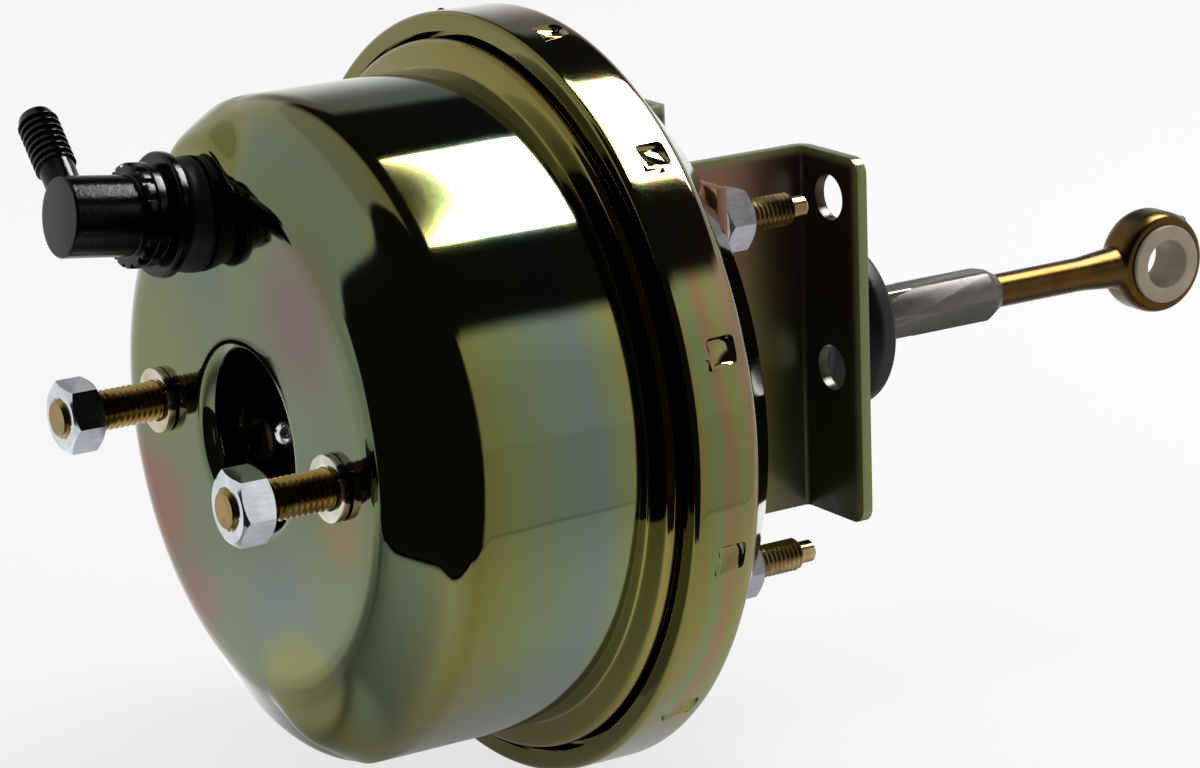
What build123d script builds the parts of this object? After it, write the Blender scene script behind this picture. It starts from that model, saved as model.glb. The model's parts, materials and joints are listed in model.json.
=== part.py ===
"""Vacuum brake booster: a single-diaphragm servo with its firewall brackets, check valve and pedal rod.

X runs along the booster, from the master cylinder face at X = 0 back to the pedal, and Z is up.
The side that carries the near bracket is at -Y.
"""
from build123d import *
from math import cos, radians, sin, tan
import os

# Pressed steel housing
sheet = 1.5
shell_r = 80.5
shoulder_x = 18.0
shoulder_fillet = 9.0
platform_margin = 23.5
platform_step = 8.5
platform_edge_fillet = 4.0
step_margin = 12.0
step_fillet = 3.0
lobe_angle = 113.0
lobe_margin = 31.5
lobe_top_r = 25.0
lobe_flare = 28.0
lobe_edge_fillet = 5.0
well_r = 21.0
well_depth = 30.0
well_edge_fillet = 4.0
well_hole_r = 11.0
shell_end_x = 60.5
ridge_x = 62.8
ridge_height = 7.5
groove_height = 5.9
rim_flange_x = 71.35
rim_height = 13.0
rim_front_x = 67.85
rim_rear_x = 81.0
lip_width = 5.5
lance_count = 12
lance_turn = 13.0
lance_x = 76.5
lance_length = 7.0
lance_width = 6.5
lance_depth = 1.1
lance_slope = 14.0
lance_tilt = 8.0
rear_face_x = 96.0
rear_face_margin = 16.0
neck_end_x = 116.0
seat_gap = 0.1

# Master cylinder studs
stud_spacing = 85.7
stud_turn = 1.6
stud_r = 5.0
stud_root_r = 4.6
stud_tip_x = -28.5
stud_head_r = 8.0
stud_head = 3.0
stud_button = 1.0
stud_nut_flats = 16.0
stud_nut_height = 8.4
stud_nut_turn = 8.0
stud_washer_r = 8.0
stud_washer = 2.6
washer_slit = 1.2
thread_gap = 0.05
stud_plate = 3.0
stud_plate_margin = 2.5
stud_plate_half_height = 26.0

# Rear studs and the firewall brackets
rear_stud_inset = 28.5
rear_stud_high = 46.0
rear_stud_low = 40.0
rear_stud_r = 4.0
rear_stud_end_x = 122.5
rear_stud_point_r = 2.7
rear_stud_point = 4.5
rear_stud_head_r = 7.0
rear_stud_head = 2.5
rear_nut_flats = 14.0
rear_nut_height = 7.5
rear_washer_r = 7.5
rear_washer = 2.5
bracket_sheet = 2.7
bracket_bend = 4.0
web_margin = 17.0
base_flange_margin = 9.5
base_flange_foot = 11.0
base_corner_cut = 5.0
bracket_head = 10.3
bracket_low = -34.6
firewall_x = 141.4
firewall_flange_y = 55.0
firewall_corner = 4.0
firewall_hole_r = 5.6
firewall_hole_y = 43.0
firewall_hole_z = (45.3, 2.8)
bracket_hole_gap = 0.4

# Check valve, set in the upper lobe with its front end tipped up
valve_y = 22.0
valve_z = 51.0
valve_tilt = 7.5
grommet_flange_r = 14.0
grommet_flange = 6.2
grommet_hole_r = 11.5
grommet_inner_flange = 3.0
valve_stem_r = 6.9
valve_stem_end = 10.0
valve_stem_barb_r = 8.2
valve_stem_bore_r = 3.6
valve_body_r = 9.65
valve_wall = 1.8
valve_end = 34.0
valve_joint = 14.0
valve_flange_r = 12.5
valve_flange = 2.6
valve_collar_r = 15.0
valve_collar = 3.0
valve_collar_end = 6.5
valve_neck_r = 10.5
nipple_back = 4.6
nipple_length = 32.0
nipple_r = 4.3
nipple_bore_r = 2.5
nipple_lean = 52.0
barb_r = 5.0
barb_pitch = 4.0
barb_count = 3
valve_disc_r = 6.4
valve_disc = 1.6
valve_disc_spring_r = 4.6
valve_disc_wire = 0.7

# Power piston
hub_front_x = 68.0
hub_nose_r = 19.0
hub_flange_x = 80.5
hub_flange_r = 34.0
hub_flange = 5.0
hub_tube_r = 16.5
hub_end_x = 149.0
hub_bore_r = 13.5
hub_bore_x = 98.5
running_gap = 0.05
neck_lining = 2.5
neck_bearing_x = 98.5
neck_bearing_length = 6.5
neck_seal_length = 7.0
neck_ring_length = 1.5
reaction_r = 13.0
reaction_disc_thickness = 5.0
reaction_bottom_x = 79.0
output_head = 5.0
output_rod_r = 6.0
output_rod_end_x = 24.0
adjuster_r = 3.5
adjuster_tip_x = 8.0
adjuster_hex = 8.0
adjuster_hex_height = 4.5
adjuster_stem_r = 2.5
adjuster_stem = 10.0
plate_sheet = 1.2
plate_margin = 14.5
plate_rim = 6.0
diaphragm_sheet = 1.8
diaphragm_roll_x = 72.6
diaphragm_bead = 5.0
spring_r = 28.0
spring_wire = 3.4
spring_turns = 7.0
seal_flange_r = 15.5
seal_flange = 2.4

# Control valve inside the hub
plunger_front_x = 81.2
plunger_travel = 2.0
plunger_r = 6.45
plunger_groove_r = 4.2
plunger_head_r = 8.5
plunger_head_x = 101.0
plunger_head = 4.0
plunger_cup_r = 7.0
plunger_cup_end_x = 110.0
ball_x = 106.5
ball_r = 4.5
key_x = 88.0
key_thickness = 2.0
key_width = 13.0
key_low = -6.0
key_high = 14.6
part_gap = 0.3
poppet_x = 106.0
poppet_face = 2.4
poppet_inner_r = 8.2
poppet_face_r = 11.6
poppet_sheet = 1.2
poppet_collar_x = 118.0
poppet_collar = 3.0
poppet_spring_r = 9.6
poppet_wire = 0.9
retainer_sheet = 1.0
retainer_r = 10.4
valve_spring_r = 7.6
valve_spring_wire = 1.4
spring_seat_x = 131.2
spring_seat = 1.2
spring_seat_r = 9.8
filter_x = 134.5
filter_length = 6.5
silencer_length = 6.0
filter_inner_r = 6.2

# Pedal rod
rod_r = 4.5
rod_neck_r = 2.8
rod_neck_end_x = 113.0
coupling_x = 178.0
coupling_r = 7.2
coupling_round = 14.0
coupling_flats = 12.7
coupling_end_x = 221.0
coupling_end_r = 5.0
coupling_chamfer = 4.0
coupling_socket = 10.0
eye_x = 274.8
eye_r = 13.8
eye_width = 11.5
eye_bore_r = 8.6
eye_root_r = 5.6
eye_root = 11.0
bushing_flange_r = 10.5
bushing_flange = 1.3
bushing_pin_r = 6.5
boot_sheet = 1.6
boot_r = 22.0
boot_fold_r = 18.7
boot_folds = 5
boot_end_x = 175.0
boot_collar = 12.0

platform_r = shell_r - platform_margin
step_r = shell_r - step_margin
lobe_centre_r = shell_r - lobe_margin
ridge_r = shell_r + ridge_height
groove_r = shell_r + groove_height
rim_r = shell_r + rim_height
lip_r = rim_r - lip_width
rear_face_r = rim_r - rear_face_margin
neck_bore_r = hub_tube_r + neck_lining
stud_plate_r = platform_r - stud_plate_margin
rear_stud_y = rear_face_r - rear_stud_inset
rear_stud_z = (rear_stud_high, -rear_stud_low)
web_y = rear_stud_y - web_margin
base_flange_y = rear_stud_y + base_flange_margin
base_flange_low = -rear_stud_low - base_flange_foot
bracket_top = rear_stud_high + bracket_head
plate_r = shell_r - plate_margin
coupling_hex_x = coupling_x + coupling_round
base_x = rear_face_x + bracket_sheet
bushing_r = eye_bore_r - seat_gap
stud_back_x = sheet + stud_plate


def along_x(sketch, start, end):
    """Extrude a sketch drawn in Y and Z from one station on the axis to another."""
    plane = Plane((start, 0, 0), x_dir=(0, 1, 0), z_dir=(1, 0, 0))
    return extrude(plane * sketch, amount=end - start)


def tube(start, end, outer, inner=0.0, y=0.0, z=0.0):
    ring = Circle(outer)
    if inner > 0:
        ring = ring - Circle(inner)
    return along_x(Pos(y, z) * ring, start, end)


def turned(points):
    """A solid turned about the X axis from station and radius pairs."""
    return revolve(make_face(Polyline(*points, close=True)), axis=Axis.X)


def pressed(points, radii, thickness):
    """A round pressing: a sheet that follows the given middle line, with bends of the given radii."""
    middle = FilletPolyline(*points, radius=radii)
    return revolve(trace(middle, thickness), axis=Axis.X)


def coil(start, end, radius, wire, turns):
    """A round wire spring about the X axis, between two stations that it just clears."""
    length = end - start - wire - 2 * seat_gap
    path = Helix(pitch=length / turns, height=length, radius=radius)
    section = Plane(path @ 0, z_dir=path % 0) * Circle(wire / 2)
    spring = sweep(section, path=path, is_frenet=True)
    return Pos(start + wire / 2 + seat_gap, 0, 0) * Rotation(0, 90, 0) * spring


def hex_nut(flats, height, bore):
    """A nut that stands on X = 0 with both rims chamfered, and grows towards +X."""
    corner = flats / 2 / cos(radians(30))
    rim = (corner - flats / 2) * tan(radians(30))
    hexagon = along_x(RegularPolygon(flats / 2, 6, major_radius=False), 0, height)
    crown = [(0, 0), (0, flats / 2), (rim, corner), (height - rim, corner), (height, flats / 2), (height, 0)]
    return (hexagon & turned(crown)) - tube(0, height, bore)


def lock_washer(outer, inner, thickness, slit_angle):
    """A split spring washer that stands on X = 0 and grows towards +X."""
    middle = (outer + inner) / 2
    slit = Box(thickness * 3, washer_slit, outer)
    slit = Rotation(slit_angle, 0, 0) * Pos(0, 0, middle) * slit
    return tube(0, thickness, outer, inner) - slit


def stud_places():
    half = stud_spacing / 2
    turn = radians(stud_turn)
    return [(-half * cos(turn), -half * sin(turn)), (half * cos(turn), half * sin(turn))]


def rear_stud_places():
    return [(side * rear_stud_y, z) for side in (-1, 1) for z in rear_stud_z]


def shell_form(inset):
    """The solid form of the front pressing, set in by the sheet on its inner side."""
    outer, end = shell_r - inset, shell_end_x + 2
    outline = FilletPolyline(
        (inset, 0), (inset, platform_r), (platform_step + inset * 0.6, step_r), (shoulder_x * 0.55, outer),
        (end, outer), radius=[platform_edge_fillet, step_fillet, shoulder_fillet - inset])
    rest = Polyline((end, outer), (end, 0), (inset, 0))
    return revolve(make_face(Wire(outline.edges() + rest.edges())), axis=Axis.X) + lobe(inset)


def lobe(inset):
    """A pad of the front face, carried out over the shoulder, flat enough for a grommet to seat on."""
    top = lobe_top_r - inset * 0.8
    depth = shoulder_x + shoulder_fillet
    flared = top + depth * tan(radians(lobe_flare))
    plane = Plane((inset, 0, lobe_centre_r), x_dir=(0, 0, -1), z_dir=(1, 0, 0))
    pad = Solid.make_cone(top, flared, depth, plane=plane)
    rim = pad.edges().filter_by(GeomType.CIRCLE).sort_by(Axis.X)[0]
    pad = fillet(rim, lobe_edge_fillet - inset / 2)
    return (Rotation(90 - lobe_angle, 0, 0) * pad) & tube(0, depth, shell_r - inset)


def cup():
    """The drawn cup with its two opposite lobes: one half is made, and turned round for the other."""
    reach = 4 * shell_r
    half_space = Box(reach, reach, reach, align=(Align.CENTER, Align.CENTER, Align.MIN))
    half_space = Rotation(90 - lobe_angle, 0, 0) * half_space
    half = (shell_form(0) & half_space) - (shell_form(sheet) & half_space)
    return half + Rotation(180, 0, 0) * half


def front_shell():
    middle = sheet / 2
    drawn = cup() - tube(shell_end_x - 2, shell_end_x + 3, shell_r + 1)
    drawn = drawn - tube(-1, well_depth, well_r + well_edge_fillet)
    well = pressed(
        [(middle, well_r + well_edge_fillet + 1), (middle, well_r + middle),
         (well_depth + middle, well_r + middle), (well_depth + middle, well_hole_r)],
        [well_edge_fillet - middle, 2.0], sheet)
    rim = pressed(
        [(shell_end_x - 2.5, shell_r - middle), (shell_end_x + 0.6, shell_r - middle), (ridge_x, ridge_r - middle),
         (ridge_x + 2.8, groove_r - middle), (rim_flange_x - middle, groove_r - middle),
         (rim_flange_x - middle, rim_r - sheet - 0.7)],
        [1.2, 1.3, 1.0, 1.2], sheet)
    shell = drawn + well + rim
    for y, z in stud_places():
        shell = shell - tube(-1, sheet + 1, stud_root_r + thread_gap, y=y, z=z)
    return shell - tube(-1, sheet + 6, grommet_hole_r, y=valve_y, z=valve_z)


def rear_shell():
    middle = sheet / 2
    shell = pressed(
        [(rim_front_x + middle, lip_r), (rim_front_x + middle, rim_r - middle), (rim_rear_x, rim_r - middle),
         (rear_face_x - middle, rear_face_r), (rear_face_x - middle, neck_bore_r + middle),
         (neck_end_x, neck_bore_r + middle)],
        [2.4, 4.0, 6.0, 3.0], sheet)
    for y, z in rear_stud_places():
        shell = shell - tube(rear_face_x - 4, rear_face_x + 1, rear_stud_r + thread_gap, y=y, z=z)
    punch = lance()
    for number in range(lance_count):
        shell = shell - Rotation(lance_turn + number * 360 / lance_count, 0, 0) * punch
    return shell


def lance():
    """The wedge that a punch leaves in the crimped skirt, deep at one end, to lock it on the flange."""
    wedge = Box(lance_length, lance_width, 2 * lance_depth + sheet, align=(Align.CENTER, Align.MAX, Align.MIN))
    wedge = chamfer(wedge.faces().sort_by(Axis.Z)[0].edges(), lance_depth / 2)
    return Pos(lance_x, 0, rim_r - lance_depth) * Rotation(-lance_slope, -lance_tilt, 0) * wedge


def stud_reinforcement():
    plate = Circle(stud_plate_r) - Circle(spring_r + spring_wire / 2 + 1.2)
    plate = plate & Rectangle(2 * stud_plate_r, 2 * stud_plate_half_height)
    for y, z in stud_places():
        plate = plate - Pos(y, z) * Circle(stud_root_r + thread_gap)
    return along_x(plate, sheet, stud_back_x)


def master_cylinder_stud():
    """Headed stud pressed in from inside: a bare thread, with the root shown under the nut and washer."""
    nut_back = stud_tip_x + 1.0 + stud_nut_height
    chamfer = 1.2
    head_end = stud_back_x + stud_head
    return turned([
        (stud_tip_x, 0), (stud_tip_x, stud_root_r - chamfer), (stud_tip_x + chamfer, stud_root_r),
        (nut_back + 0.2, stud_root_r), (nut_back + 0.2, stud_r), (-stud_washer - 0.2, stud_r),
        (-stud_washer - 0.2, stud_root_r), (stud_back_x, stud_root_r), (stud_back_x, stud_head_r),
        (head_end, stud_head_r), (head_end, stud_r), (head_end + stud_button, stud_r),
        (head_end + stud_button, 0)])


def master_cylinder_nut():
    nut = hex_nut(stud_nut_flats, stud_nut_height, stud_root_r + thread_gap)
    return Pos(stud_tip_x + 1.0, 0, 0) * Rotation(stud_nut_turn, 0, 0) * nut


def rear_stud():
    head_x = rear_face_x - sheet - rear_stud_head
    end, point = rear_stud_end_x, rear_stud_end_x + rear_stud_point
    return turned([
        (head_x, 0), (head_x, rear_stud_head_r), (head_x + rear_stud_head, rear_stud_head_r),
        (head_x + rear_stud_head, rear_stud_r), (end - 1, rear_stud_r), (end, rear_stud_point_r),
        (point - 0.6, rear_stud_point_r), (point, rear_stud_point_r - 0.6), (point, 0)])


def bracket():
    """Z-section bracket of the near side: base flange on the shell, web, and a flange for the firewall."""
    half = bracket_sheet / 2
    middle = FilletPolyline(
        (rear_face_x + half, -base_flange_y), (rear_face_x + half, half - web_y),
        (firewall_x - half, half - web_y), (firewall_x - half, -firewall_flange_y), radius=bracket_bend - half)
    section = trace(middle, bracket_sheet)
    plate = Pos(0, 0, base_flange_low) * extrude(section, amount=bracket_top - base_flange_low)
    skirt = Box(firewall_x, 2 * base_flange_y, bracket_low - base_flange_low,
                align=(Align.MIN, Align.CENTER, Align.MIN))
    plate = plate - Pos(base_x, 0, base_flange_low) * skirt
    corner = Rotation(45, 0, 0) * Box(4 * bracket_sheet, base_corner_cut * 2 ** 0.5, base_corner_cut * 2 ** 0.5)
    plate = plate - Pos(rear_face_x, -base_flange_y, base_flange_low) * corner
    outer_edges = (plate.edges().filter_by(Axis.X).filter_by_position(Axis.X, firewall_x - half - 0.1, firewall_x)
                   .filter_by_position(Axis.Y, -firewall_flange_y - 0.1, -firewall_flange_y + 0.1))
    plate = fillet(outer_edges, firewall_corner)
    for z in firewall_hole_z:
        plate = plate - tube(firewall_x - 5, firewall_x + 1, firewall_hole_r, y=-firewall_hole_y, z=z)
    for z in rear_stud_z:
        plate = plate - tube(rear_face_x - 1, base_x + 1, rear_stud_r + bracket_hole_gap, y=-rear_stud_y, z=z)
    return plate


def valve_place(solid):
    """Set a solid made about the X axis on the check valve's tipped axis."""
    return Pos(0, valve_y, valve_z) * Rotation(0, valve_tilt, 0) * solid


def valve_grommet():
    in_front = Box(4 * grommet_flange_r, 4 * shell_r, 4 * shell_r, align=(Align.MAX, Align.CENTER, Align.CENTER))
    flange = valve_place(tube(-grommet_flange, grommet_flange, grommet_flange_r)) & in_front
    neck = tube(-1, sheet + 1, grommet_hole_r - seat_gap, y=valve_y, z=valve_z)
    inner = tube(sheet + seat_gap, sheet + grommet_inner_flange, grommet_flange_r - 1, y=valve_y, z=valve_z)
    return flange + neck + inner - valve_place(tube(-3 * grommet_flange, 3 * grommet_flange, valve_stem_r + running_gap))


def check_valve_base():
    """Rear half of the valve: stem through the grommet, collar and the seat for the disc."""
    cavity_r = valve_body_r - valve_wall
    body = turned([
        (-valve_joint, 0), (-valve_joint, valve_flange_r), (-valve_joint + valve_flange, valve_flange_r),
        (-valve_joint + valve_flange, valve_neck_r), (-valve_collar_end - valve_collar, valve_neck_r),
        (-valve_collar_end - valve_collar, valve_collar_r), (-valve_collar_end, valve_collar_r),
        (-valve_collar_end, valve_stem_r), (valve_stem_end - 3.6, valve_stem_r),
        (valve_stem_end - 3.6, valve_stem_barb_r), (valve_stem_end, valve_stem_r - 1.0), (valve_stem_end, 0)])
    body = body - tube(-valve_stem_end * 2, valve_stem_end + 1, valve_stem_bore_r)
    return valve_place(body - tube(-valve_joint - 1, -valve_joint + valve_flange, cavity_r))


def nipple_direction():
    lean = radians(nipple_lean)
    return (0, sin(lean), cos(lean))


def check_valve_cap():
    """Front half of the valve: closed drum with the barbed hose nipple on its side."""
    cavity_r = valve_body_r - valve_wall
    body = turned([
        (-valve_joint - seat_gap, 0), (-valve_joint - seat_gap, valve_flange_r),
        (-valve_joint - valve_flange, valve_flange_r), (-valve_joint - valve_flange, valve_body_r),
        (-valve_end + 0.8, valve_body_r), (-valve_end, valve_body_r - 0.8), (-valve_end, 0)])
    root = Plane((nipple_back - valve_end, 0, 0), z_dir=nipple_direction())
    start = valve_body_r - 0.8 * valve_wall
    spout = [(0, start), (nipple_r, start), (nipple_r, nipple_length - barb_pitch * barb_count)]
    for barb in range(barb_count):
        foot = nipple_length - barb_pitch * (barb_count - barb)
        spout += [(barb_r, foot), (nipple_r - 0.3, foot + barb_pitch * 0.9)]
    spout += [(nipple_r - 0.6, nipple_length), (0, nipple_length)]
    nipple = revolve(make_face(Polyline(*spout, close=True)), axis=Axis.Y)
    body = body + root * Rotation(90, 0, 0) * nipple
    body = body - tube(-valve_end + valve_wall, -valve_joint + 1, cavity_r)
    bore = extrude(root * Circle(nipple_bore_r), amount=nipple_length + 1)
    return valve_place(body - bore)


def check_valve_disc():
    seat = -valve_joint + valve_flange - seat_gap
    return valve_place(tube(seat - valve_disc, seat, valve_disc_r))


def check_valve_spring():
    seat = -valve_joint + valve_flange - seat_gap - valve_disc
    return valve_place(coil(-valve_end + valve_wall, seat, valve_disc_spring_r, valve_disc_wire, 6))


def front_rod_seal():
    """Rubber ring that grips the well's floor and wipes the output rod."""
    floor = well_depth
    ring = turned([
        (floor - seal_flange, 0), (floor - seal_flange, seal_flange_r - 1), (floor - seal_flange + 1, seal_flange_r),
        (floor - seat_gap, seal_flange_r), (floor - seat_gap, well_hole_r - seat_gap),
        (floor + sheet + seat_gap, well_hole_r - seat_gap), (floor + sheet + seat_gap, seal_flange_r - 1),
        (floor + sheet + 1.5, seal_flange_r - 1.5), (floor + sheet + 1.5, 0)])
    return ring - tube(floor - 10, floor + 10, output_rod_r + running_gap)


def neck_parts():
    """Bearing, lip seal and snap ring that line the rear neck round the hub tube."""
    bore = hub_tube_r + running_gap
    seal_x = neck_bearing_x + neck_bearing_length
    ring_x = seal_x + neck_seal_length
    bearing = tube(neck_bearing_x, seal_x, neck_bore_r, bore)
    seal = tube(seal_x + seat_gap, ring_x, neck_bore_r, bore)
    ring = tube(ring_x + seat_gap, ring_x + neck_ring_length, neck_bore_r, bore + neck_lining / 4)
    return bearing, seal, ring


def diaphragm():
    """Rolling rubber diaphragm, clamped at the rim and held behind the support plate."""
    half = diaphragm_sheet / 2
    back = hub_flange_x + hub_flange + plate_sheet + seat_gap + half
    outer = plate_r + plate_sheet + seat_gap + half
    web = pressed(
        [(back, hub_tube_r + 2), (back, outer), (diaphragm_roll_x + 4, outer + 0.5),
         (diaphragm_roll_x, outer + 9), (rim_flange_x + seat_gap + 2.5, rim_r - sheet - 4)],
        [4.0, 3.0, 3.0], diaphragm_sheet)
    bead = tube(rim_flange_x + seat_gap, rim_flange_x + seat_gap + diaphragm_bead, rim_r - sheet - seat_gap,
                rim_r - sheet - 6)
    lip = tube(back - half, back + 3, hub_tube_r + 3.5, hub_tube_r + seat_gap)
    return web + bead + lip


def support_plate():
    half = plate_sheet / 2
    back = hub_flange_x + hub_flange + half
    return pressed(
        [(back, hub_tube_r + seat_gap), (back, plate_r - half), (back - plate_rim, plate_r - half)],
        [3.0], plate_sheet)


def valve_body():
    """Moulded hub: nose with the reaction bore, spring flange, and the tube that slides in the neck."""
    body = turned([
        (hub_front_x, 0), (hub_front_x, hub_nose_r - 1), (hub_front_x + 1, hub_nose_r), (hub_flange_x, hub_nose_r),
        (hub_flange_x, hub_flange_r), (hub_flange_x + hub_flange, hub_flange_r),
        (hub_flange_x + hub_flange, hub_tube_r), (hub_end_x - 1, hub_tube_r), (hub_end_x, hub_tube_r - 1),
        (hub_end_x, 0)])
    body = body - tube(hub_front_x - 1, reaction_bottom_x, reaction_r + running_gap)
    body = body - tube(hub_front_x, hub_end_x, plunger_r + running_gap)
    body = body - tube(hub_bore_x, hub_end_x + 1, hub_bore_r)
    slot = Box(key_thickness + 2 * running_gap, key_width + 0.2, hub_tube_r - key_low + 1,
               align=(Align.MIN, Align.CENTER, Align.MIN))
    return body - Pos(key_x - running_gap, 0, key_low - 0.1) * slot


def plunger_key():
    """Forked steel key that drops through the hub and straddles the plunger's groove."""
    blade = Box(key_thickness, key_width, key_high - key_low, align=(Align.MIN, Align.CENTER, Align.MIN))
    fork = plunger_groove_r + running_gap + 0.1
    throat = Box(3 * key_thickness, 2 * fork, -key_low + 1, align=(Align.CENTER, Align.CENTER, Align.MAX))
    blade = Pos(key_x, 0, key_low) * blade
    return blade - Pos(key_x, 0, 0) * throat - tube(key_x - 1, key_x + key_thickness + 1, fork)


def output_rod():
    head = reaction_bottom_x - reaction_disc_thickness - output_head
    rod = turned([
        (output_rod_end_x, 0), (output_rod_end_x, output_rod_r - 0.8), (output_rod_end_x + 0.8, output_rod_r),
        (head, output_rod_r), (head, reaction_r), (head + output_head, reaction_r), (head + output_head, 0)])
    return rod - tube(output_rod_end_x - 1, output_rod_end_x + adjuster_stem, adjuster_stem_r + thread_gap)


def rod_adjuster():
    """Screw in the end of the output rod, with the round tip that pushes the master cylinder piston."""
    tip = adjuster_tip_x + adjuster_r
    collar = output_rod_end_x - seat_gap
    screw = Pos(tip, 0, 0) * Sphere(adjuster_r) + tube(tip, collar, adjuster_r)
    hexagon = RegularPolygon(adjuster_hex / 2, 6, major_radius=False)
    screw = screw + along_x(hexagon, collar - adjuster_hex_height, collar)
    return screw + tube(collar, output_rod_end_x + adjuster_stem - 1, adjuster_stem_r)


def valve_plunger():
    """Plunger with the key groove, the air seat and a cup that holds the pedal rod's ball."""
    groove = (key_x - part_gap, key_x + key_thickness + plunger_travel + part_gap)
    head_end = plunger_head_x + plunger_head
    body = turned([
        (plunger_front_x, 0), (plunger_front_x, plunger_r - 0.5), (plunger_front_x + 0.5, plunger_r),
        (groove[0], plunger_r), (groove[0], plunger_groove_r), (groove[1], plunger_groove_r), (groove[1], plunger_r),
        (plunger_head_x, plunger_r), (plunger_head_x, plunger_head_r), (head_end, plunger_head_r),
        (head_end, plunger_cup_r), (plunger_cup_end_x, plunger_cup_r - 0.6), (plunger_cup_end_x, 0)])
    socket = Pos(ball_x, 0, 0) * Sphere(ball_r + running_gap)
    mouth = turned([(ball_x, 0), (ball_x, rod_neck_r + 0.3), (plunger_cup_end_x + 1, rod_neck_r + 1.2),
                    (plunger_cup_end_x + 1, 0)])
    return body - socket - mouth


def input_rod():
    end = coupling_x + coupling_socket - seat_gap
    shank = turned([
        (ball_x, 0), (ball_x, rod_neck_r), (rod_neck_end_x, rod_neck_r), (rod_neck_end_x + 1.7, rod_r),
        (end, rod_r), (end, 0)])
    return Pos(ball_x, 0, 0) * Sphere(ball_r) + shank


def poppet_valve():
    """Rubber valve ring on a thin sleeve, clamped in the hub bore at its rear collar."""
    neck_r = hub_bore_r - 2.2
    sleeve = pressed(
        [(poppet_x + poppet_face / 2, poppet_inner_r + 0.6), (poppet_x + poppet_face / 2, neck_r),
         (poppet_collar_x + 1, neck_r)], [1.0], poppet_sheet)
    face = tube(poppet_x, poppet_x + poppet_face, poppet_face_r, poppet_inner_r)
    collar = tube(poppet_collar_x, poppet_collar_x + poppet_collar, hub_bore_r - seat_gap, retainer_r + seat_gap)
    return face + sleeve + collar


def poppet_retainer():
    """Steel ring that pins the poppet's collar and carries both small springs."""
    back = poppet_collar_x + poppet_collar + seat_gap
    half = retainer_sheet / 2
    return pressed(
        [(poppet_collar_x, retainer_r - half), (back + half, retainer_r - half), (back + half, hub_bore_r - seat_gap)],
        [0.8], retainer_sheet) + tube(poppet_collar_x, poppet_collar_x + retainer_sheet, retainer_r, rod_r + 1.9)


def coupling():
    """Long hexagon nut that joins the pedal rod: round behind the boot, hexagon, and a tapered end."""
    corner = coupling_flats / 2 / cos(radians(30))
    hexagon = RegularPolygon(coupling_flats / 2, 6, major_radius=False, rotation=90)
    bar = along_x(hexagon, coupling_hex_x - 1, coupling_end_x)
    taper = turned([
        (coupling_hex_x - 1, 0), (coupling_hex_x - 1, corner), (coupling_end_x - coupling_chamfer, corner),
        (coupling_end_x, coupling_end_r), (coupling_end_x, 0)])
    body = (bar & taper) + tube(coupling_x, coupling_hex_x, coupling_r)
    body = body - tube(coupling_x - 1, coupling_x + coupling_socket, rod_r + thread_gap)
    return body - tube(coupling_end_x - coupling_socket - 2, coupling_end_x + 1, rod_r + thread_gap)


def pedal_eye_rod():
    """Forged rod with its eye: the shank swells into the ring that carries the bushing."""
    start = coupling_end_x - coupling_socket - 2 + seat_gap
    swell = eye_x - eye_r - 4
    shank = turned([
        (start, 0), (start, rod_r), (swell - eye_root / 2, rod_r), (swell + eye_root / 2, eye_root_r),
        (eye_x - eye_bore_r, eye_root_r), (eye_x - eye_bore_r, 0)])
    ring = Pos(eye_x, 0, 0) * Rotation(90, 0, 0) * Cylinder(eye_r, eye_width)
    ring = fillet(ring.edges().filter_by(GeomType.CIRCLE), 2.0)
    bore = Pos(eye_x, 0, 0) * Rotation(90, 0, 0) * Cylinder(eye_bore_r, eye_width * 2)
    return shank + ring - bore


def eye_bushing():
    """Nylon bushing pushed in from the near side, with its flange on the eye's face."""
    barrel = Rotation(90, 0, 0) * Cylinder(bushing_r, eye_width)
    flange = Pos(0, -(eye_width + bushing_flange) / 2 - seat_gap / 2, 0) * Rotation(90, 0, 0) * Cylinder(
        bushing_flange_r, bushing_flange + seat_gap)
    hole = Rotation(90, 0, 0) * Cylinder(bushing_pin_r, 3 * eye_width)
    return Pos(eye_x, 0, 0) * (barrel + flange - hole)


def boot():
    """Rubber bellows from the neck to the coupling, with a dished end."""
    half = boot_sheet / 2
    collar_r = neck_bore_r + sheet + seat_gap + half
    points = [(neck_end_x - boot_collar, collar_r), (neck_end_x + 1.5, collar_r)]
    first, last = neck_end_x + 4, boot_end_x - 9
    pitch = (last - first) / boot_folds
    for fold in range(boot_folds):
        points.append((first + pitch * (fold + 0.1), boot_fold_r))
        points.append((first + pitch * (fold + 0.6), boot_r - half))
    points += [(last + 1, boot_fold_r), (last + 4, boot_r - half), (boot_end_x - half, boot_r - half - 0.5),
               (boot_end_x - 2, coupling_r + 5), (boot_end_x + 2, coupling_r + seat_gap + half),
               (boot_end_x + 6, coupling_r + seat_gap + half)]
    radii = [0.9] * (len(points) - 2)
    return pressed(points, radii, boot_sheet)


def on_places(solid, places):
    return Compound(children=[Pos(0, y, z) * solid for y, z in places])


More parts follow.
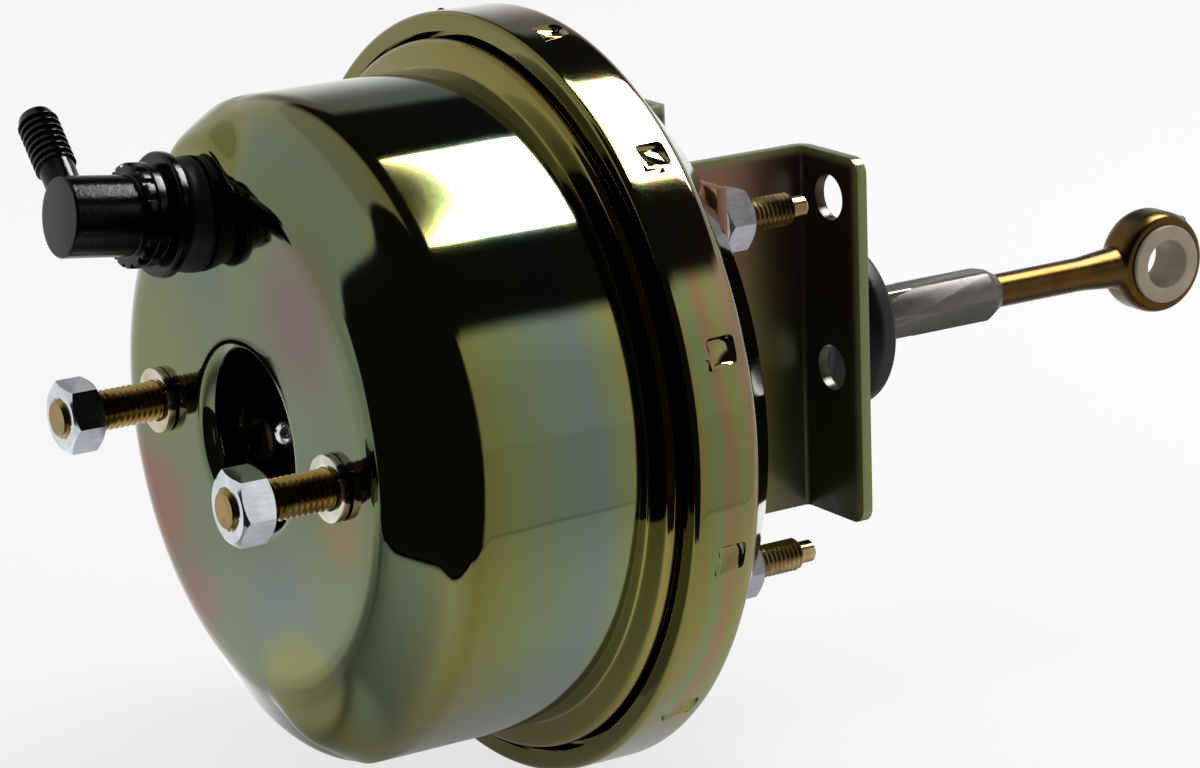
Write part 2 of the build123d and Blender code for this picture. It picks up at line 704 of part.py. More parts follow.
def build():
    bearing, seal, ring = neck_parts()
    near = bracket()
    stud_washer_ring = Pos(-stud_washer, 0, 0) * lock_washer(
        stud_washer_r, stud_root_r + 0.3, stud_washer - seat_gap, 30)
    rear_ring = Pos(base_x, 0, 0) * lock_washer(rear_washer_r, rear_stud_r + 0.2, rear_washer, 40)
    rear_nut = Pos(base_x + rear_washer, 0, 0) * hex_nut(rear_nut_flats, rear_nut_height, rear_stud_r + thread_gap)
    filter_end = filter_x + filter_length
    seat_x = poppet_collar_x + poppet_collar + seat_gap + retainer_sheet
    return {
        "front_shell": front_shell(),
        "rear_shell": rear_shell(),
        "stud_plate": stud_reinforcement(),
        "master_cylinder_studs": on_places(master_cylinder_stud(), stud_places()),
        "master_cylinder_nuts": on_places(master_cylinder_nut(), stud_places()),
        "master_cylinder_lock_washers": on_places(stud_washer_ring, stud_places()),
        "front_rod_seal": front_rod_seal(),
        "diaphragm": diaphragm(),
        "return_spring": coil(sheet, hub_flange_x, spring_r, spring_wire, spring_turns),
        "valve_grommet": valve_grommet(),
        "check_valve_base": check_valve_base(),
        "check_valve_cap": check_valve_cap(),
        "check_valve_disc": check_valve_disc(),
        "check_valve_spring": check_valve_spring(),
        "rear_studs": on_places(rear_stud(), rear_stud_places()),
        "rear_nuts": on_places(rear_nut, rear_stud_places()),
        "rear_lock_washers": on_places(rear_ring, rear_stud_places()),
        "near_bracket": near,
        "far_bracket": mirror(near, about=Plane.XZ),
        "neck_bearing": bearing,
        "neck_seal": seal,
        "neck_snap_ring": ring,
        "boot": boot(),
        "valve_body": valve_body(),
        "support_plate": support_plate(),
        "reaction_disc": tube(reaction_bottom_x - reaction_disc_thickness, reaction_bottom_x, reaction_r),
        "output_rod": output_rod(),
        "rod_adjuster": rod_adjuster(),
        "plunger_key": plunger_key(),
        "poppet_valve": poppet_valve(),
        "poppet_retainer": poppet_retainer(),
        "poppet_spring": coil(poppet_x + poppet_face, poppet_collar_x, poppet_spring_r, poppet_wire, 4),
        "air_filter": tube(filter_x, filter_end, hub_bore_r - seat_gap, filter_inner_r),
        "air_silencer": tube(filter_end + seat_gap, filter_end + silencer_length, hub_bore_r - seat_gap,
                             filter_inner_r),
        "valve_plunger": valve_plunger(),
        "input_rod": input_rod(),
        "valve_spring": coil(seat_x, spring_seat_x, valve_spring_r, valve_spring_wire, 3),
        "spring_seat": tube(spring_seat_x, spring_seat_x + spring_seat, spring_seat_r, rod_r + thread_gap),
        "rod_coupling": coupling(),
        "pedal_eye_rod": pedal_eye_rod(),
        "eye_bushing": eye_bushing(),
    }


os.makedirs("parts", exist_ok=True)
for name, solid in build().items():
    export_step(solid, f"parts/{name}.step")
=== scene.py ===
"""The looks of a plated vacuum brake booster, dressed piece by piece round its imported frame.

X runs from the master cylinder face back to the pedal, Z is up, and all sizes are in metres.
"""
import json
from math import ceil, cos, hypot, pi, radians, sin, sqrt, tan

import bpy
from mathutils import Matrix, Vector


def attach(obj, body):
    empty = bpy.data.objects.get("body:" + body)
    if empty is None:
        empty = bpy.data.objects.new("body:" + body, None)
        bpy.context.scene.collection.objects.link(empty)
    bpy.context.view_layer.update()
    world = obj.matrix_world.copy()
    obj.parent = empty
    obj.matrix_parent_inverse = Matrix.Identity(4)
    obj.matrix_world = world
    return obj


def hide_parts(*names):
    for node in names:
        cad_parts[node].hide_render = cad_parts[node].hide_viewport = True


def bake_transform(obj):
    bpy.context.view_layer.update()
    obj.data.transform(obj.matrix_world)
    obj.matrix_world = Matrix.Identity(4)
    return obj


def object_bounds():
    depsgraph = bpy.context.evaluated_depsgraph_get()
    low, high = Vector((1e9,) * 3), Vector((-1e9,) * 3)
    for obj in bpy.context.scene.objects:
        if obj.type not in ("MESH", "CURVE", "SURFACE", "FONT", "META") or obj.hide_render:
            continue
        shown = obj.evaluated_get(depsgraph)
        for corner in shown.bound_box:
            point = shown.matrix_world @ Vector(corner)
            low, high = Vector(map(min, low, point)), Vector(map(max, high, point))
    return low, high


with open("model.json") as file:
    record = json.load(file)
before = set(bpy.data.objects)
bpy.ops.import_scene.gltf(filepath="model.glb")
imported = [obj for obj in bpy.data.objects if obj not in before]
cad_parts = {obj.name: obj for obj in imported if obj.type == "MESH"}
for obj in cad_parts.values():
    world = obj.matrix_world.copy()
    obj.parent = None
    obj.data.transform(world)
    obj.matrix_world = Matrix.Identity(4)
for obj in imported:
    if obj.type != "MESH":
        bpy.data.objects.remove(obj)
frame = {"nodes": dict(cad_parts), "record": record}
cad_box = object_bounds()
bpy.ops.object.select_all(action="DESELECT")


# The camera stands off the near front corner, about a metre away, a little above the axis.
camera_azimuth = radians(-32.09)
camera_height = radians(15.3)
camera_roll = radians(-2.07)
camera_distance = 1.039
camera_aim = Vector((0.1, 0, 0))
camera_slip = (-0.001, -0.0035)
camera_lens = 126
camera_sensor = 36

camera_back = Vector((sin(camera_azimuth) * cos(camera_height), -cos(camera_azimuth) * cos(camera_height),
                      sin(camera_height)))
level_right = Vector((cos(camera_azimuth), sin(camera_azimuth), 0))
level_up = camera_back.cross(level_right)
camera_right = level_right * cos(camera_roll) + level_up * sin(camera_roll)
camera_up = level_up * cos(camera_roll) - level_right * sin(camera_roll)
camera_place = camera_aim + camera_back * camera_distance
camera_place += level_right * camera_slip[0] + level_up * camera_slip[1]

bpy.ops.object.camera_add()
camera = bpy.context.object
camera.name = "photo_camera"
camera.data.sensor_width = camera_sensor
camera.data.lens = camera_lens
camera.data.clip_start = 0.05
camera.matrix_world = Matrix.Translation(camera_place) @ Matrix(
    (camera_right, camera_up, camera_back)).transposed().to_4x4()
bpy.context.scene.camera = camera
bpy.context.scene.view_settings.view_transform = "Standard"


# The studio is a white tent with a pale floor, open to the dark overhead and on the camera's side, and one soft
# lamp hangs in the dark overhead. The polished plate mirrors all of it.
class Value:
    """A socket on its way through a material: arithmetic on it adds Math nodes."""

    def __init__(self, finish, socket):
        self.finish = finish
        self.socket = socket

    def math(self, operation, *values):
        return self.finish.node("ShaderNodeMath", {"operation": operation}, dict(enumerate(values)))

    def __add__(self, other):
        return self.math("ADD", self, other)

    def __sub__(self, other):
        return self.math("SUBTRACT", self, other)

    def __rsub__(self, other):
        return self.math("SUBTRACT", other, self)

    def __mul__(self, other):
        return self.math("MULTIPLY", self, other)

    def __truediv__(self, other):
        return self.math("DIVIDE", self, other)

    def __pow__(self, other):
        return self.math("POWER", self, other)

    __radd__ = __add__
    __rmul__ = __mul__

    def smooth(self, low, high):
        """0 below low and 1 above high, with a soft step between, or the other way where low is the greater."""
        ends = {"Value": self, "From Min": min(low, high), "From Max": max(low, high)}
        ends |= {"To Min": float(low > high), "To Max": float(low < high)}
        return self.finish.node("ShaderNodeMapRange", {"interpolation_type": "SMOOTHSTEP"}, ends)


class Finish:
    """The nodes of one material or world, all made by one method."""

    def __init__(self, tree):
        self.tree = tree
        tree.nodes.clear()

    def node(self, kind, settings=None, inputs=None, output=0):
        made = self.tree.nodes.new(kind)
        for name, setting in (settings or {}).items():
            if name == "stops":
                ramp = made.color_ramp.elements
                while len(ramp) < len(setting):
                    ramp.new(0.5)
                for stop, (place, colour) in zip(ramp, setting):
                    stop.position = place
                    stop.color = (*colour, 1)
            else:
                setattr(made, name, setting)
        for name, given in (inputs or {}).items():
            socket = made.inputs[name]
            if isinstance(given, Value):
                self.tree.links.new(given.socket, socket)
            elif socket.type == "RGBA":
                socket.default_value = (*given, 1)
            else:
                socket.default_value = given
        return Value(self, made.outputs[output]) if made.outputs else None

    def parts(self, vector):
        """The X, Y and Z of a vector, as three values."""
        split = self.node("ShaderNodeSeparateXYZ", inputs={0: vector}).socket.node
        return [Value(self, split.outputs[axis]) for axis in range(3)]

    def mixed(self, mask, below, above):
        """The colour below, covered by the colour above where the mask is 1."""
        return self.node("ShaderNodeMix", {"data_type": "RGBA"}, {0: mask, 6: below, 7: above}, output=2)


ceiling_from = 0.54
ceiling_edge = 0.04
left_wall_from = -0.2
left_wall_slant = 0.55
left_wall_level = 0.75
right_wall_from = radians(-64)
wall_edge = 0.03
dark_level = 0.02
far_dimming = 0.7
near_lift = 0.25
room_level = 0.55
white = (1, 1, 1)

world = bpy.data.worlds.new("studio")
world.use_nodes = True
bpy.context.scene.world = world
air = Finish(world.node_tree)
toward_x, toward_y, toward_z = air.parts(air.node("ShaderNodeTexCoord"))
left_wall = toward_y + toward_x * left_wall_slant
left_wall = left_wall.smooth(left_wall_from - wall_edge, left_wall_from + wall_edge)
right_wall = (toward_y * cos(right_wall_from) - toward_x * sin(right_wall_from)).smooth(-wall_edge, wall_edge)
ceiling = toward_z.smooth(ceiling_from - ceiling_edge, ceiling_from + ceiling_edge)
dark = ceiling.math("MAXIMUM", ceiling, (1 - right_wall) * (1 - left_wall))
lit_left = left_wall * toward_x.smooth(0.2, 0.0)
far_wall = toward_z.smooth(0.05, 0.45) * toward_y.smooth(0.2, 0.8) * toward_x.smooth(0.0, 0.3) * far_dimming
near_wall = toward_z.smooth(0.25, 0.5) * toward_y.smooth(0.0, -0.5) * near_lift
tent = (1 - dark) * (1 - far_wall + near_wall - dark_level) + dark_level
tent = lit_left * (1 - ceiling * (1 - left_wall_level)) + (1 - lit_left) * tent
seen = air.node("ShaderNodeLightPath", output="Is Camera Ray")
mirrored = air.node("ShaderNodeLightPath", output="Is Glossy Ray")
through = air.node("ShaderNodeLightPath", output="Is Transmission Ray")
direct = seen.math("MAXIMUM", seen, through)
strength = direct + (1 - direct) * (mirrored * tent + (1 - mirrored) * room_level)
air.node("ShaderNodeOutputWorld", inputs={"Surface": air.node(
    "ShaderNodeBackground", inputs={"Color": white, "Strength": strength})})

lamp_height = 1.0
lamp_x = (0.56, 1.12)
lamp_y = (-0.385, 0.31)
lamp_glare = 40
lamp_light = 7
bpy.ops.mesh.primitive_plane_add(size=1, location=(sum(lamp_x) / 2, sum(lamp_y) / 2, lamp_height))
lamp = bpy.context.object
lamp.name = "overhead_softbox"
lamp.scale = (lamp_x[1] - lamp_x[0], lamp_y[1] - lamp_y[0], 1)
glowing = bpy.data.materials.new("softbox_cloth")
glowing.use_nodes = True
f = Finish(glowing.node_tree)
mirrored = f.node("ShaderNodeLightPath", output="Is Glossy Ray")
f.node("ShaderNodeOutputMaterial", inputs={"Surface": f.node("ShaderNodeEmission", inputs={
    "Color": mirrored * (lamp_glare - lamp_light) + lamp_light})})
lamp.data.materials.append(glowing)

# Each edge of the paper is a line on the floor: its slopes in X and Y, and how far off it lies.
near_edge = (0.235, 1.0, -0.196)
left_edge = (0.673, 0.738, -0.151)
paper_line = 0.004
line_depth = 0.5
paper_grey = (0.9, 0.9, 0.9)
# The paper's glow in reflections right under the piece: a painted shadow.
painted_shadow_under_piece = 0.3
floor_middle = 0.1
floor_drop = 0.0004
floor_size = 8
bpy.ops.mesh.primitive_plane_add(size=floor_size, location=(floor_middle, 0, cad_box[0][2] - floor_drop))
floor = bpy.context.object
floor.name = "studio_floor"
paper = bpy.data.materials.new("pale_paper")
paper.use_nodes = True
f = Finish(paper.node_tree)
seen = f.node("ShaderNodeLightPath", output="Is Camera Ray")
mirrored = f.node("ShaderNodeLightPath", output="Is Glossy Ray")
out_x, out_y, _ = f.parts(f.node("ShaderNodeTexCoord", output="Object"))
out_x = out_x + floor_middle
aside = out_y.math("ABSOLUTE", out_y)
near, left = [out_x * slope_x + out_y * slope_y - off for slope_x, slope_y, off in (near_edge, left_edge)]
inside = near.math("MINIMUM", near, left)
line = inside.smooth(-paper_line, 0.0) * inside.smooth(paper_line, 0.0) * line_depth
room = (out_x + out_y * 0.49).smooth(-0.04, -0.02)
room = room.math("MAXIMUM", room, (out_y + out_x * 0.345).smooth(-0.07, -0.05))
# Seen in reflections, the paper carries a painted shadow: dim under the piece, brightest a little to either
# side, and a little dimmer further out.
paper_glow_with_painted_shadow = aside.smooth(0.0, 0.10) * 0.95 + painted_shadow_under_piece - aside.smooth(0.12, 0.22) * 0.2
paper_here = inside.smooth(-0.002, 0.002)
shine = paper_here * paper_glow_with_painted_shadow + (1 - paper_here) * (room * 0.88 + dark_level) - line
matt = f.node("ShaderNodeBsdfDiffuse", inputs={"Color": paper_grey})
glow = f.node("ShaderNodeEmission", inputs={"Color": mirrored * shine + (1 - mirrored)})
f.node("ShaderNodeOutputMaterial", inputs={"Surface": f.node("ShaderNodeMixShader", inputs={
    0: seen.math("MAXIMUM", seen * 0.75, mirrored), 1: matt, 2: glow})})
floor.data.materials.append(paper)
bpy.ops.object.select_all(action="DESELECT")


# The front shell is a cup drawn from 1.5 mm steel sheet: a flat face with the deep well for the master
# cylinder's nose, a sloped shoulder with two opposite lobes that run out over it, and a flange under the other
# shell's crimp. It is polished, zinc plated and dipped in yellow chromate, which leaves a thin rainbow film.
millimetre = 0.001
sheet = 1.5 * millimetre
shoulder_end = 17.9 * millimetre
platform_r = 57 * millimetre
lobe_turn = radians(113)
lobe_centre = 49 * millimetre
lobe_top_r = 25 * millimetre
lobe_flare = radians(28)
lobe_blend = 1.6 * millimetre
lobe_fade = 14 * millimetre


def rounded(corners, bends, spacing=0.0):
    """The line through corners in millimetres, each but the first and last on an arc of its own radius."""
    corners = [Vector(corner) for corner in corners]
    line = [corners[0]]
    for before, corner, after, bend in zip(corners, corners[1:], corners[2:], bends):
        come, leave = (before - corner).normalized(), (after - corner).normalized()
        half = come.angle(leave) / 2
        centre = corner + (come + leave).normalized() * bend / sin(half)
        start, end = corner + come * bend / tan(half), corner + leave * bend / tan(half)
        steps = max(2, ceil((pi - 2 * half) / radians(12)))
        for step in range(steps + 1):
            line.append(centre + (start - centre).slerp(end - centre, step / steps).normalized() * bend)
    line.append(corners[-1])
    if not spacing:
        return [point * millimetre for point in line]
    fine = [line[0]]
    for point in line[1:]:
        runs = max(1, ceil((point - fine[-1]).length / spacing))
        last = fine[-1]
        fine += [last.lerp(point, run / runs) for run in range(1, runs + 1)]
    return [point * millimetre for point in fine]


def straight(*corners):
    """The same without bends."""
    return [Vector(corner) * millimetre for corner in corners]


def drawn(name, line, upright=True):
    """One vertex drawn along a line of station and height, or of station and Y, and left in edit mode."""
    bpy.ops.mesh.primitive_plane_add(size=millimetre, location=(0, 0, 0))
    piece = bpy.context.object
    piece.name = name
    bpy.ops.object.mode_set(mode="EDIT")
    bpy.ops.mesh.merge(type="CENTER")
    last = Vector((0, 0))
    for number, point in enumerate(line):
        along, out = point - last
        move = {"value": (along, 0, out) if upright else (along, out, 0)}
        if number:
            bpy.ops.mesh.extrude_vertices_move(TRANSFORM_OT_translate=move)
        else:
            bpy.ops.transform.translate(**move)
        last = point
    bpy.ops.mesh.select_all(action="SELECT")
    return piece


def turned(name, line, steps=96):
    """A line of station and radius, spun about the X axis."""
    piece = drawn(name, line)
    bpy.ops.mesh.spin(steps=steps, angle=2 * pi, center=(0, 0, 0), axis=(1, 0, 0))
    bpy.ops.mesh.select_all(action="SELECT")
    bpy.ops.mesh.remove_doubles(threshold=0.002 * millimetre)
    bpy.ops.mesh.normals_make_consistent(inside=False)
    bpy.ops.object.mode_set(mode="OBJECT")
    return piece


def worked(piece, kind, **settings):
    """Add one modifier, set it, and apply it."""
    bpy.ops.object.select_all(action="DESELECT")
    piece.select_set(True)
    bpy.context.view_layer.objects.active = piece
    modifier = piece.modifiers.new(kind.lower(), kind)
    for name, setting in settings.items():
        setattr(modifier, name, setting)
    bpy.ops.object.modifier_apply(modifier=modifier.name)
    return piece


def picked(piece, wanted):
    """Into edit mode, with just the vertices selected whose place passes a test."""
    bpy.ops.object.select_all(action="DESELECT")
    piece.select_set(True)
    bpy.context.view_layer.objects.active = piece
    bpy.ops.object.mode_set(mode="EDIT")
    bpy.ops.mesh.select_mode(type="VERT")
    bpy.ops.mesh.select_all(action="DESELECT")
    bpy.ops.object.mode_set(mode="OBJECT")
    for vertex in piece.data.vertices:
        vertex.select = wanted(vertex.co)
    bpy.ops.object.mode_set(mode="EDIT")


def drill(radius, start, end, y=0.0, z=0.0):
    """A round tool along X, in millimetres, to cut with."""
    bpy.ops.mesh.primitive_cylinder_add(
        vertices=64, radius=radius * millimetre, depth=(end - start) * millimetre, rotation=(0, pi / 2, 0),
        location=(Vector(((start + end) / 2, y, z)) * millimetre))
    return placed(bpy.context.object)


def cut(piece, tool, operation="DIFFERENCE"):
    """Cut the piece with a tool, join the tool on, or keep what they share. The tool is used up."""
    worked(piece, "BOOLEAN", operation=operation, object=tool, solver="EXACT")
    bpy.data.objects.remove(tool)
    return piece


def placed(piece, shift=(0, 0, 0), turn=0.0, axis="X"):
    """Turn the piece about an axis through the origin, move it, and leave its object at the origin."""
    bpy.ops.object.select_all(action="DESELECT")
    piece.select_set(True)
    bpy.context.view_layer.objects.active = piece
    piece.matrix_world = Matrix.Translation(shift) @ Matrix.Rotation(turn, 4, axis) @ piece.matrix_world
    bpy.ops.object.transform_apply(location=True, rotation=True, scale=True)
    return piece


def copied(piece, name, shift=(0, 0, 0), turn=0.0, axis="X"):
    """A copy with a mesh of its own, turned and moved."""
    twin = piece.copy()
    twin.data = piece.data.copy()
    twin.name = name
    bpy.context.collection.objects.link(twin)
    return placed(twin, shift, turn, axis)


def dressed(piece, material, body, slot, *nodes, angle=30):
    """Shade the finished piece, give it its material and body, and let it stand for its CAD nodes."""
    bpy.ops.object.select_all(action="DESELECT")
    piece.select_set(True)
    bpy.context.view_layer.objects.active = piece
    bpy.ops.object.shade_smooth_by_angle(angle=radians(angle))
    piece.data.materials.clear()
    piece.data.materials.append(material)
    if body:
        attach(piece, body)
    if nodes:
        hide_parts(*nodes)
    bpy.ops.object.select_all(action="DESELECT")
    return piece


def srgb(red, green, blue):
    """A colour as it shows on a screen, from 0 to 255, in the linear numbers that a material takes."""
    return tuple(((part / 255 + 0.055) / 1.055) ** 2.4 if part > 10 else part / 255 / 12.92
                 for part in (red, green, blue))


def material_for(name):
    made = bpy.data.materials.new(name)
    made.use_nodes = True
    return made, Finish(made.node_tree)


def surface(finish, **inputs):
    """The one shader of a material. Its inputs are given by the names of the sockets, with underscores."""
    inputs = {name.replace("_", " "): given for name, given in inputs.items()}
    finish.node("ShaderNodeOutputMaterial", inputs={"Surface": finish.node(
        "ShaderNodeBsdfPrincipled", inputs=inputs)})


def noise(finish, place, scale, detail=2.0, roughness=0.5):
    return finish.node("ShaderNodeTexNoise", inputs={
        "Vector": place, "Scale": scale, "Detail": detail, "Roughness": roughness})


def banded(finish, place, *stops):
    """Colours laid one after another along a value. Each stop is a place and a colour as it shows."""
    stops = [(at, srgb(*colour)) for at, *colour in stops]
    return finish.node("ShaderNodeValToRGB", {"stops": stops}, {"Fac": place})


def plated(name, *bands, start, length, spots, roughness):
    """Polished zinc under a chromate film, whose colour drifts along X in bands and clouds."""
    made, f = material_for(name)
    place = f.node("ShaderNodeTexCoord", output="Object")
    station, across, height = f.parts(place)
    broad = noise(f, place, 9, 1.5)
    cloud = noise(f, place, 24, 3)
    drift = (broad - 0.5) * 0.012 + (cloud - 0.5) * 0.005
    film = banded(f, (station + drift - start) / length, *bands)
    for (y, z, near, far), colour in spots:
        reach = ((across - y) ** 2 + (height - z) ** 2) ** 0.5 + (cloud - 0.5) * 0.02
        film = f.mixed(reach.smooth(far, near) * station.smooth(0.03, 0.012) * 0.8, film, srgb(*colour))
    waves = noise(f, place, 20, 2)
    grain = noise(f, place, 900, 2)
    bump = f.node("ShaderNodeBump", inputs={"Strength": 0.06, "Distance": 0.004, "Height": waves})
    surface(f, Base_Color=film, Metallic=1.0, Roughness=grain * 0.03 + roughness, Normal=bump)
    return made


face_line = rounded(
    [(30, 11), (30, 21), (0, 21), (0, 61), (12.2, 80.5), (60.4, 80.5), (62.2, 88.1), (65.8, 86.4),
     (69.85, 86.4), (69.85, 91.5)],
    [1.4, 4, 14, 9, 0.6, 2.0, 1.0, 1.0], spacing=1.3)
front_shell = turned("drawn_front_shell", face_line, 288)


def lobe_drop(station, reach, centre):
    """How far a lobe stands out in front of the shell's own face, at a distance from the lobe's centre."""
    pad = (hypot(reach[0] - centre[0], reach[1] - centre[1]) - lobe_top_r) / tan(lobe_flare)
    pad = max(0.0, (pad + sqrt(pad * pad + 4 * lobe_blend * lobe_blend)) / 2 - 0.2 * lobe_blend)
    proud = max(0.0, station - pad)
    return sqrt(proud * proud + lobe_blend * lobe_blend) - lobe_blend


lobe_centres = [(-cos(lobe_turn + half) * lobe_centre, sin(lobe_turn + half) * lobe_centre) for half in (0, pi)]
for vertex in front_shell.data.vertices:
    x, y, z = vertex.co
    if hypot(y, z) > 0.6 * platform_r and x < shoulder_end + lobe_fade:
        fade = max(0.0, (x - shoulder_end) / lobe_fade)
        fade = 1 - fade * fade * (3 - 2 * fade)
        vertex.co.x = x - fade * max(lobe_drop(min(x, shoulder_end), (y, z), centre) for centre in lobe_centres)
picked(front_shell, lambda place: hypot(place.y, place.z) > 1.1 * platform_r
       and place.x < 0.8 * shoulder_end)
bpy.ops.mesh.vertices_smooth(factor=0.5, repeat=3)
bpy.ops.object.mode_set(mode="OBJECT")
worked(front_shell, "SOLIDIFY", thickness=sheet, offset=1)
stud_half = 42.85
stud_turn = radians(1.6)
stud_hole_r = 4.95
valve_hole_r = 11.5
stud_places = [(side * stud_half * cos(stud_turn), side * stud_half * sin(stud_turn)) for side in (-1, 1)]
valve_place = (22, 51)
for y, z, hole_r in [(y, z, stud_hole_r) for y, z in stud_places] + [(*valve_place, valve_hole_r)]:
    cut(front_shell, drill(hole_r, -2, 8, y, z))
front_finish = plated(
    "yellow_chromate_face",
    (0.00, 96, 104, 76), (0.08, 96, 106, 84), (0.14, 106, 106, 70), (0.20, 98, 92, 46), (0.32, 98, 104, 62),
    (0.45, 94, 106, 82), (0.60, 92, 106, 95), (0.70, 106, 113, 74), (0.76, 120, 112, 60), (0.84, 106, 86, 42),
    (0.94, 112, 110, 70), start=0.0, length=0.08, roughness=0.05, spots=[
        ((0.047, 0.012, 0.010, 0.030), (106, 110, 60)), ((0.052, -0.028, 0.006, 0.022), (126, 78, 68)),
        ((0.030, -0.048, 0.004, 0.020), (120, 84, 74)), ((-0.030, 0.034, 0.004, 0.022), (106, 82, 78)),
        ((-0.012, -0.040, 0.004, 0.024), (84, 100, 98)), ((-0.022, -0.064, 0.014, 0.026), (118, 118, 56)),
        ((0.022, 0.062, 0.012, 0.026), (112, 112, 56)), ((-0.044, -0.008, 0.004, 0.016), (118, 104, 60)),
        ((0.018, 0.040, 0.004, 0.018), (84, 102, 84))])
dressed(front_shell, front_finish, "housing", "yellow_zinc_shell", "front_shell", angle=40)


# The rear shell is drawn from the same sheet. Its skirt is crimped over the front shell's flange and locked by
# a ring of small lances, and its neck takes the boot. It has the same plating.
lance_count = 12
lance_first = radians(13)
lance_place = (75.5 * millimetre, 94.3 * millimetre)
lance_size = (7.5 * millimetre, 7.0 * millimetre, 3.4 * millimetre)
lance_tip = radians(-14)
lance_slope = radians(8)

back_line = rounded(
    [(116, 20.5), (96, 20.5), (96, 77.5), (81.5, 93.5), (64.8, 93.5), (64.8, 88.7)],
    [3.6, 6.4, 3.0, 1.4], spacing=2.0)
rear_shell = turned("crimped_rear_shell", back_line, 288)
worked(rear_shell, "SOLIDIFY", thickness=sheet, offset=-1)


def ring_of_tools(name, size, lift, round_over):
    """A bevelled block, tipped and set on the skirt, copied round it and joined into one tool."""
    bpy.ops.mesh.primitive_cube_add(size=1, location=(0, 0, 0))
    tool = bpy.context.object
    tool.name = name
    bpy.ops.transform.resize(value=size)
    placed(tool)
    worked(tool, "BEVEL", width=round_over, segments=3, limit_method="ANGLE")
    placed(tool, shift=(0, 0, lift))
    placed(tool, turn=lance_tip)
    placed(tool, turn=lance_slope, axis="Y")
    placed(tool, shift=(lance_place[0], 0, lance_place[1]))
    placed(tool, turn=lance_first + pi / 2)
    copies = [copied(tool, name, turn=number * 2 * pi / lance_count) for number in range(1, lance_count)]
    bpy.ops.object.select_all(action="DESELECT")
    for piece in [*copies, tool]:
        piece.select_set(True)
    bpy.context.view_layer.objects.active = tool
    bpy.ops.object.join()
    return tool


lance_floor = (lance_size[0] + 0.4 * millimetre, lance_size[1] + 0.4 * millimetre, 1.1 * millimetre)
cut(rear_shell, ring_of_tools("lance_floors", lance_floor, -2.2 * millimetre, 0.2 * millimetre), "UNION")
cut(rear_shell, ring_of_tools("lance_punches", lance_size, 0, 1.3 * millimetre))
rear_finish = plated(
    "yellow_chromate_cover",
    (0.00, 108, 102, 54), (0.12, 98, 112, 72), (0.22, 122, 98, 68), (0.34, 112, 116, 68), (0.46, 128, 106, 82),
    (0.58, 106, 118, 84), (0.72, 118, 110, 62), (0.86, 110, 90, 58), (1.00, 98, 94, 56),
    start=0.067, length=0.031, roughness=0.06, spots=[])
dressed(rear_shell, rear_finish, "housing", "yellow_zinc_shell", "rear_shell", angle=40)


# Two headed studs with rolled M10 threads are pressed through the face from inside, to hold the master
# cylinder. They are steel, zinc plated with a gold film that is dark in the thread and bright on the cut ends.
def threaded(name, first, last, crest, pitch, depth, point=0.8):
    """A bar from one station to another whose skin is a screw ridge, with a chamfer at its first end."""
    bpy.ops.mesh.primitive_circle_add(vertices=4, radius=pitch / 2 * millimetre, rotation=(pi / 2, 0, 0))
    ridge = placed(bpy.context.object)
    ridge.name = name
    picked(ridge, lambda place: place.z < -0.4 * pitch * millimetre)
    bpy.ops.mesh.delete(type="VERT")
    bpy.ops.mesh.select_all(action="SELECT")
    bpy.ops.transform.resize(value=(1, 1, 2 * depth / pitch), center_override=(0, 0, 0))
    bpy.ops.transform.translate(value=Vector((first - 1.5 * pitch, 0, crest - depth)) * millimetre)
    bpy.ops.object.mode_set(mode="OBJECT")
    worked(ridge, "SCREW", axis="X", angle=2 * pi, screw_offset=pitch * millimetre, steps=28, render_steps=28,
           iterations=ceil((last - first) / pitch) + 3)
    bpy.ops.object.mode_set(mode="EDIT")
    bpy.ops.mesh.select_all(action="SELECT")
    bpy.ops.mesh.remove_doubles(threshold=0.01 * millimetre)
    bpy.ops.mesh.fill_holes(sides=0)
    bpy.ops.mesh.quads_convert_to_tris()
    bpy.ops.mesh.normals_make_consistent(inside=False)
    bpy.ops.object.mode_set(mode="OBJECT")
    skin = crest + 0.01
    bar = straight((first, 0), (first, crest - point), (first + point, skin), (last, skin), (last, 0))
    return cut(ridge, turned("thread_blank", bar, 48), "INTERSECT")


def gold(name, *bands, roughness=0.2, scale=160):
    made, f = material_for(name)
    place = f.node("ShaderNodeTexCoord", output="Object")
    film = banded(f, noise(f, place, scale, 3) * 0.8 + noise(f, place, scale / 6, 1) * 0.2, *bands)
    surface(f, Base_Color=film, Metallic=1.0, Roughness=noise(f, place, 700) * 0.1 + roughness - 0.05)
    return made


stud_tip = -28.5
stud = threaded("master_cylinder_stud", stud_tip, -0.4, 5.0, 1.5, 0.92)
cut(stud, turned("stud_root", straight(
    (-1.2, 0), (-1.2, 4.5), (4.5, 4.5), (4.5, 8), (7.5, 8), (7.5, 5), (8.5, 5), (8.5, 0)), 48), "UNION")
stud_gold = gold(
    "dark_gold_thread", (0.35, 112, 84, 38), (0.45, 140, 108, 54), (0.52, 120, 112, 58), (0.6, 150, 120, 64))
other_stud = copied(stud, "master_cylinder_stud_far", Vector((0, *stud_places[1])) * millimetre)
placed(stud, Vector((0, *stud_places[0])) * millimetre)
dressed(stud, stud_gold, "housing", "gold_zinc", "master_cylinder_studs", angle=25)
dressed(other_stud, stud_gold, "housing", "gold_zinc", angle=25)


# Each stud carries an M10 nut, turned from 16 mm hexagon bar and bright zinc plated. It is run on just to the
# stud's end, as the booster is shipped.
def bar_end(name, flats, start, end):
    """A hexagon of bar stock between two stations."""
    bpy.ops.mesh.primitive_cylinder_add(
        vertices=6, radius=flats / sqrt(3) * millimetre, depth=(end - start) * millimetre,
        location=((start + end) / 2 * millimetre, 0, 0), rotation=(0, pi / 2, 0))
    bpy.context.object.name = name
    return placed(bpy.context.object)


